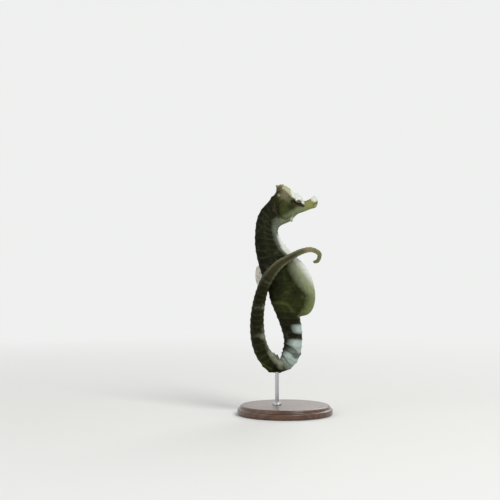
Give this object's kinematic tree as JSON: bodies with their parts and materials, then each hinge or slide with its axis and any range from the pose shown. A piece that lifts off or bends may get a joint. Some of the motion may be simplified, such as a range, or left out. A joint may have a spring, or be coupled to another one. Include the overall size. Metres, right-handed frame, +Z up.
{
  "type": "seahorse model",
  "caption": "Life-size still model of a male pot-bellied seahorse, upright with its tail looped below and crossed over its trunk, on a round base with a rod.",
  "frame": {"origin": "centre of the underside of the stand's base", "axes": "+Z up, +X the way the snout points, +Y the animal's left; the animal's middle plane is Y = 0"},
  "size_m": [0.06, 0.06, 0.1451],
  "materials": {
    "head_skin": "olive and pale mottled, satin, moist sheen",
    "snout_skin": "yellow-olive to cream, satin",
    "body_skin": "dark olive brown with pale front, ringed armour, satin",
    "pouch_skin": "cream, smooth and taut, satin",
    "tail_skin": "dark brown and white bands, ringed armour, satin",
    "fin_membrane": "thin translucent membrane with fine rays",
    "eye": "wet, clear front over a silver and brown iris with a black pupil",
    "stand_wood": "dark stained, satin varnish",
    "stand_steel": "brushed"
  },
  "bodies": {
    "root": {"mouth": "snout_skin", "snout": "snout_skin", "head": "head_skin", "gill_cover_left": "head_skin", "gill_cover_right": "head_skin", "coronet": "snout_skin", "neck": "body_skin", "trunk_upper": "body_skin", "trunk_lower": "body_skin", "pouch": "pouch_skin", "tail_root": "body_skin", "tail_front_limb": "tail_skin", "tail_loop_front": "tail_skin", "tail_loop_back": "tail_skin", "tail_back_limb_lower": "tail_skin", "tail_back_limb_upper": "tail_skin", "tail_crossing": "tail_skin", "tail_end": "tail_skin", "tail_tip": "tail_skin", "fin_dorsal": "fin_membrane", "fin_anal": "fin_membrane", "fin_pectoral_left": "fin_membrane", "fin_pectoral_right": "fin_membrane", "eye_left": "eye", "eye_right": "eye", "stand_base": "stand_wood", "stand_rod": "stand_steel", "stand_collar": "stand_steel"}
  },
  "joints": []
}
